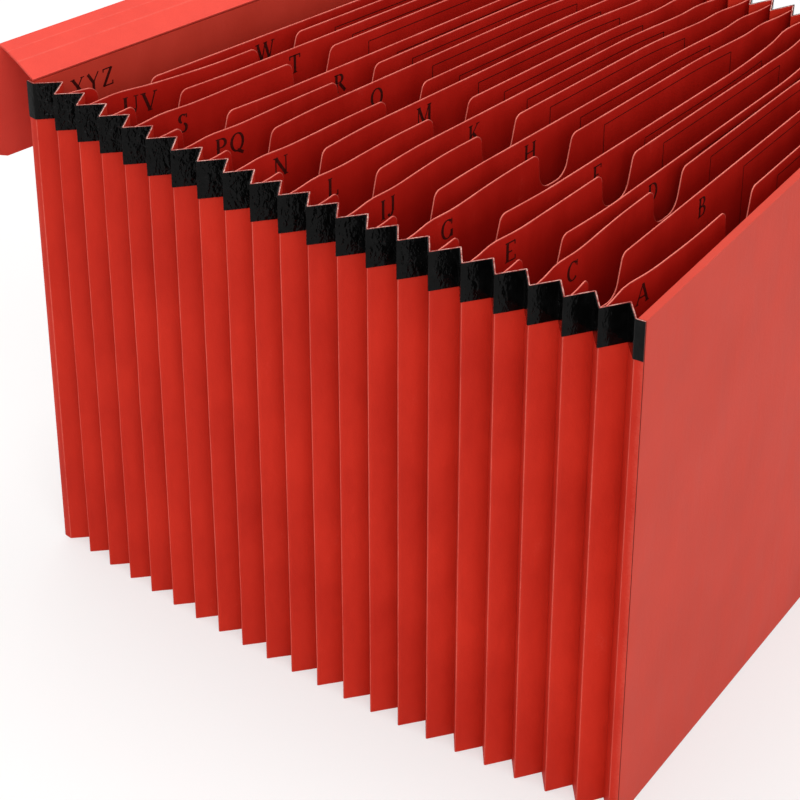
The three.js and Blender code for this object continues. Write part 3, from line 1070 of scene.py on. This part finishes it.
class Printer:
    """Lays flat printed strokes on a surface and collects them as one mesh."""

    stretch = 1.12
    spacing = 0.1
    degrees_per_step = 15
    rule = 0.45 * MM
    rule_spans = 24
    side_spans = 8

    def begin(self, surface: Callable[[float, float], Vector]) -> None:
        """Starts a new print on a surface that maps s and z to a point."""
        self.surface = surface
        self.points: list[Vector] = []
        self.faces: list[tuple[int, ...]] = []

    def ribbon(self, path: list[tuple[float, float]], widths: list[float]) -> None:
        """Adds a ribbon.

        Args:
            path: The middle of the ribbon in s and z.
            widths: Its width at each place.
        """
        first = len(self.points)
        for n, (s, z) in enumerate(path):
            before, after = path[max(n - 1, 0)], path[min(n + 1, len(path) - 1)]
            run = Vector((after[0] - before[0], after[1] - before[1])).normalized()
            across = Vector((-run.y, run.x)) * (widths[n] / 2)
            self.points.append(self.surface(s + across.x, z + across.y))
            self.points.append(self.surface(s - across.x, z - across.y))
        for n in range(len(path) - 1):
            corner = first + 2 * n
            self.faces.append((corner, corner + 1, corner + 3, corner + 2))

    def word(self, text: str, centre: float, top: float, size: float) -> None:
        """Prints capitals.

        Args:
            text: The letters.
            centre: Middle of the word along the surface.
            top: Height of the tops of the letters.
            size: Their cap height.
        """
        wide = size * self.stretch
        gap = self.spacing * wide
        total = sum(GLYPHS[letter][0] for letter in text) * wide + gap * (len(text) - 1)
        left = centre - total / 2
        for letter in text:
            width, strokes = GLYPHS[letter]
            for stroke in strokes:
                self.stroke(stroke, letter, left, top - size, wide, size)
            left += width * wide + gap

    def stroke(
        self, stroke: tuple[float, ...], letter: str, left: float, base: float, wide: float, size: float
    ) -> None:
        """Prints one stroke of a letter and its cross strokes.

        Args:
            stroke: A line or an arc of the letter's table.
            letter: The letter.
            left: The letter's left side.
            base: Its foot.
            wide: Scale along the surface.
            size: Scale up the surface.
        """
        if len(stroke) == 5:
            x0, y0, x1, y1, weight = stroke
            path = [(left + mix(x0, x1, n / 4) * wide, base + mix(y0, y1, n / 4) * size) for n in range(5)]
            self.ribbon(path, [weight * size] * len(path))
            footed = letter in FOOTED and abs(y1 - y0) > UPRIGHT
            for x, y in ((x0, y0), (x1, y1)):
                if footed and y in (0, 1) and not (letter == "A" and y == 1):
                    half = SERIF_REACH[weight]
                    level = base + mix(*SERIF_LEVELS, y) * size
                    ends = [(left + (x - half) * wide, level), (left + (x + half) * wide, level)]
                    self.ribbon(ends, [SERIF * size] * 2)
            return
        x, y, rx, ry, first, last = stroke
        steps = max(8, int(abs(last - first) / self.degrees_per_step))
        path, widths = [], []
        for n in range(steps + 1):
            angle = math.radians(mix(first, last, n / steps))
            across = x + (rx - ARC_INSET[0]) * math.cos(angle)
            level = y + (ry - ARC_INSET[1]) * math.sin(angle)
            path.append((left + across * wide, base + level * size))
            widths.append(mix(ARC_THIN, HEAVY, abs(math.cos(angle))) * size)
        self.ribbon(path, widths)
        if letter in "BDPR":
            for level in (y + ry - ARC_INSET[1], y - ry + ARC_INSET[1]):
                height = base + level * size
                bar = [(left + BAR_START * wide, height), (left + x * wide, height)]
                self.ribbon(bar, [ARC_THIN * size] * 2)

    def frame(self, left: float, right: float, top: float, depth: float) -> None:
        """Prints an empty ruled frame.

        Args:
            left: Its left side along the surface.
            right: Its right side.
            top: Its top.
            depth: Its height.
        """
        along, down = self.rule_spans, self.side_spans
        for level in (top, top - depth):
            path = [(mix(left, right, n / along), level) for n in range(along + 1)]
            self.ribbon(path, [self.rule] * len(path))
        for side in (left, right):
            path = [(side, mix(top, top - depth, n / down)) for n in range(down + 1)]
            self.ribbon(path, [self.rule] * len(path))

    def mesh(self) -> Mesh:
        """Returns the printed strokes as a mesh that faces the front."""
        mesh = bpy.data.meshes.new("print")
        mesh.from_pydata(self.points, [], self.faces)
        mesh.update()
        for face in [face for face in mesh.polygons if face.normal.y > 0]:
            face.flip()
        mesh.update()
        return mesh


@dataclass
class KeptPieces:
    """The boards and the bottom pleats, whose CAD pieces keep their shape and get finishes."""

    nodes: dict[str, Piece]
    finishes: dict[str, Finish] = field(
        default_factory=lambda: {
            "front_board_core": Finish.CORE,
            "back_board_core": Finish.CORE,
            "front_cover_paper": Finish.COVER,
            "back_cover_paper": Finish.COVER,
            "bottom_gusset": Finish.PLEAT,
        }
    )

    def build(self) -> None:
        """Dresses each of them."""
        for name, finish in self.finishes.items():
            for slot in self.nodes[name].material_slots:
                slot.material = finish.material()


def heading(rise: float) -> Vector:
    """Returns the unit vector at that many degrees above level."""
    angle = math.radians(rise)
    return Vector((math.cos(angle), math.sin(angle)))


@dataclass
class CoverFlap:
    """The flap as one scored sheet, from the back board's top edge to its free edge.

    Each scored strip has its width in millimetres and its rise in degrees.
    """

    fan: Fan
    card: float = 1.0 * MM
    scores: tuple[tuple[float, float], ...] = ((13, 24), (7.5, 21), (6.5, 15))
    shares: tuple[float, ...] = (0.03, 0.1, 0.3, 0.5, 0.7, 0.9, 0.97)
    # Paleness along the scores and the bend: partly wear, partly painted highlight on the score lines.
    score_wear_and_highlight: float = 0.9
    bend: float = 0.8 * MM
    beyond: tuple[float, ...] = (3 * MM, 8 * MM)
    depth: float = 66 * MM
    rise: float = -78
    corner: float = 8 * MM
    panel_steps: int = 12
    corner_steps: int = 3
    rows: int = 30
    blend_reach: float = 1.2

    def profile(self) -> list[tuple[float, float, float]]:
        """Returns the flap's section as distance behind the hinge board, height and wear, which also paints
        the highlight on the scores.
        """
        n, z = self.fan.inset, self.fan.height + self.fan.seat + self.card / 2
        points = []
        for width, rise in self.scores:
            run = heading(rise) * width * MM
            for share in self.shares:
                worn_and_highlighted = self.score_wear_and_highlight * (share in (self.shares[0], self.shares[-1]))
                points.append((n + run.x * share, z + run.y * share, worn_and_highlighted))
            n, z = n + run.x, z + run.y
        run = heading(self.rise)
        for away in (self.bend, *self.beyond):
            points.append((n + run.x * away, z + run.y * away, 1.0 if away == self.bend else 0.0))
        for step in range(1, self.panel_steps + 1):
            away = mix(self.corner, self.depth, step / self.panel_steps)
            left = self.panel_steps - step
            if left <= self.corner_steps:
                away = self.depth - self.corner * left / self.corner_steps
            points.append((n + run.x * away, z + run.y * away, 0.0))
        return points

    def crease(self) -> Vector:
        """Returns the last crease in the section: distance behind the hinge and height."""
        place = Vector((self.fan.inset, self.fan.height + self.fan.seat + self.card / 2))
        for width, rise in self.scores:
            place += heading(rise) * width * MM
        return place

    def build(self) -> None:
        """Builds the flap in place of its two CAD pieces."""
        board = self.fan.board_line(0)
        section = self.profile()
        path = [Vector((n, z)) for n, z, _ in section]
        crease = self.crease()
        left, right = self.fan.inset, self.fan.width - self.fan.inset
        scored = len(self.scores) * len(self.shares)

        def place(column: int, side: int, row: int) -> Vector:
            """Returns a point of the flap's face."""
            spot = offset_corner(path, column, side * self.card / 2)
            below = (path[column] - crease).length if column >= scored else 0.0
            over = max(below - (self.depth - self.corner), 0.0)
            pull = self.corner - math.sqrt(max(self.corner**2 - over**2, 0.0))
            s = mix(left + pull, right - pull, row / self.rows)
            return board.point(s, spot.x, spot.y)

        def wear_and_highlight(column: int, _row: int) -> float:
            """Returns how worn the flap is along a score; this also paints the score's highlight."""
            return section[column][2]

        mesh = solid_sheet(len(path) - 1, self.rows, place, wear_and_highlight)
        piece = new_object("cover_flap", mesh, Finish.FLAP, Finish.LEAF_EDGE_HIGHLIGHT)
        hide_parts("cover_flap_spine", "cover_flap_panel")
        before = crease - heading(self.scores[-1][1]) * self.blend_reach * MM
        after = crease + heading(self.rise) * self.blend_reach * MM
        middle = self.fan.width / 2
        start, end = board.point(middle, *before), board.point(middle, *after)
        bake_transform(piece)
        LOG.info("cover_flap: %d faces", len(mesh.polygons))


@dataclass
class Studio:
    """The pale floor, the soft lamps and the camera."""

    camera_place: Vector = field(default_factory=lambda: Vector((-0.87423, -0.66228, 0.7614)))
    azimuth: float = 50.65
    elevation: float = 32.2
    focal_pixels: float = 2587
    picture: float = 800
    floor_colour: Triple = (0.84, 0.835, 0.825)
    floor_glow: float = 0.5
    floor_reach: float = 12
    floor_drop: float = 0.0002
    soft_light: float = 0.42
    lamps: tuple[tuple[str, Triple, float, float], ...] = (
        ("key", (-2.4, -2.05, 2.5), 3.0, 77),
        ("top", (0.1, 0.5, 2.2), 2.2, 40),
        ("front", (0.9, -2.2, 1.0), 1.8, 14),
    )
    lamp_aim: Triple = (0, 0, 0.15)
    sensor: float = 36

    def build(self) -> None:
        """Builds all of it."""
        self.floor()
        self.world()
        for lamp in self.lamps:
            self.lamp(*lamp)
        self.camera()

    def floor(self) -> None:
        """Adds the pale floor. What the camera sees of it is half lit and half plain white."""
        mesh = bpy.data.meshes.new("floor")
        reach = self.floor_reach
        corners = [(-reach, -reach, 0), (reach, -reach, 0), (reach, reach, 0), (-reach, reach, 0)]
        mesh.from_pydata(corners, [], [(0, 1, 2, 3)])
        shader = Shader("pale floor")
        colour = {"Base Color": self.floor_colour, "Roughness": 0.9}
        lit = shader.node("ShaderNodeBsdfPrincipled", sockets=colour)
        white = shader.node("ShaderNodeEmission", sockets={"Color": (1, 1, 1), "Strength": 1.0})
        share = self.seen(shader.tree) * self.floor_glow
        both = {0: share, 1: lit.outputs[0], 2: white.outputs[0]}
        mixed = shader.node("ShaderNodeMixShader", sockets=both)
        shader.node("ShaderNodeOutputMaterial", sockets={"Surface": mixed.outputs[0]})
        mesh.materials.append(shader.material)
        floor = bpy.data.objects.new("floor", mesh)
        floor.location.z = -self.floor_drop
        bpy.context.collection.objects.link(floor)

    def seen(self, tree: Tree) -> Expr:
        """Returns 1 for what the camera sees, directly or in a gloss or through glass."""
        path = tree.nodes.new("ShaderNodeLightPath").outputs
        camera, gloss = Expr(tree, path["Is Camera Ray"]), Expr(tree, path["Is Glossy Ray"])
        through = Expr(tree, path["Is Transmission Ray"])
        return (camera + gloss).math("ADD", through, clamp=True)

    def world(self) -> None:
        """Lights the scene softly and shows white behind it."""
        world = bpy.data.worlds.new("studio")
        bpy.context.scene.world = world
        world.use_nodes = True
        sky = TreeBuilder(world.node_tree)
        plain = {"Color": (1, 1, 1)}
        soft = sky.node("ShaderNodeBackground", sockets={**plain, "Strength": self.soft_light})
        white = sky.node("ShaderNodeBackground", sockets=plain)
        both = {0: self.seen(sky.tree), 1: soft.outputs[0], 2: white.outputs[0]}
        mixed = sky.node("ShaderNodeMixShader", sockets=both)
        sky.node("ShaderNodeOutputWorld", sockets={"Surface": mixed.outputs[0]})

    def lamp(self, name: str, place: Triple, size: float, power: float) -> None:
        """Adds one square area lamp that faces the file.

        Args:
            name: The lamp's name.
            place: Where it hangs.
            size: Its side.
            power: Its power in watts.
        """
        data = bpy.data.lights.new(name, "AREA")
        data.size, data.energy = size, power
        lamp = bpy.data.objects.new(name, data)
        lamp.location = place
        aim = Vector(self.lamp_aim) - Vector(place)
        lamp.rotation_euler = aim.to_track_quat("-Z", "Y").to_euler()
        bpy.context.collection.objects.link(lamp)

    def camera(self) -> None:
        """Adds the camera at the photograph's viewpoint."""
        turn, tilt = math.radians(self.azimuth), math.radians(self.elevation)
        forward = Vector((math.cos(tilt) * math.sin(turn), math.cos(tilt) * math.cos(turn), -math.sin(tilt)))
        data = bpy.data.cameras.new("camera")
        data.sensor_width = self.sensor
        data.lens = self.sensor * self.focal_pixels / self.picture
        data.clip_end = 50
        camera = bpy.data.objects.new("camera", data)
        camera.location = self.camera_place
        camera.rotation_euler = forward.to_track_quat("-Z", "Y").to_euler()
        bpy.context.collection.objects.link(camera)
        bpy.context.scene.camera = camera


def plan_shift(fan: Fan, record: dict) -> Vector:
    """Returns how far the CAD model's plan is moved from the fan's own centre.

    Args:
        fan: The fan before it is moved.
        record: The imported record.

    Returns:
        The move, found from the flap hinge's stated place.
    """
    joints = record["behaviour"]["joints"]
    hinge = next(joint for joint in joints if joint["name"] == "flap_hinge")
    own = fan.board_line(0).point(fan.width / 2, fan.inset, 0)
    return Vector(hinge["pos_m"][:2]) - own.xy


def main() -> None:
    """Builds the file and the studio around it."""
    logging.basicConfig(level=logging.INFO, format="%(name)s: %(message)s")
    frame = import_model()
    bpy.context.scene.view_settings.view_transform = "Standard"
    fan = Fan(shift=plan_shift(Fan(), frame["record"]))
    Studio().build()
    KeptPieces(frame["nodes"]).build()
    SidePleats(fan, StripSweep()).build()
    Leaves(fan).build()
    CoverFlap(fan).build()


if __name__ == "__main__":
    main()
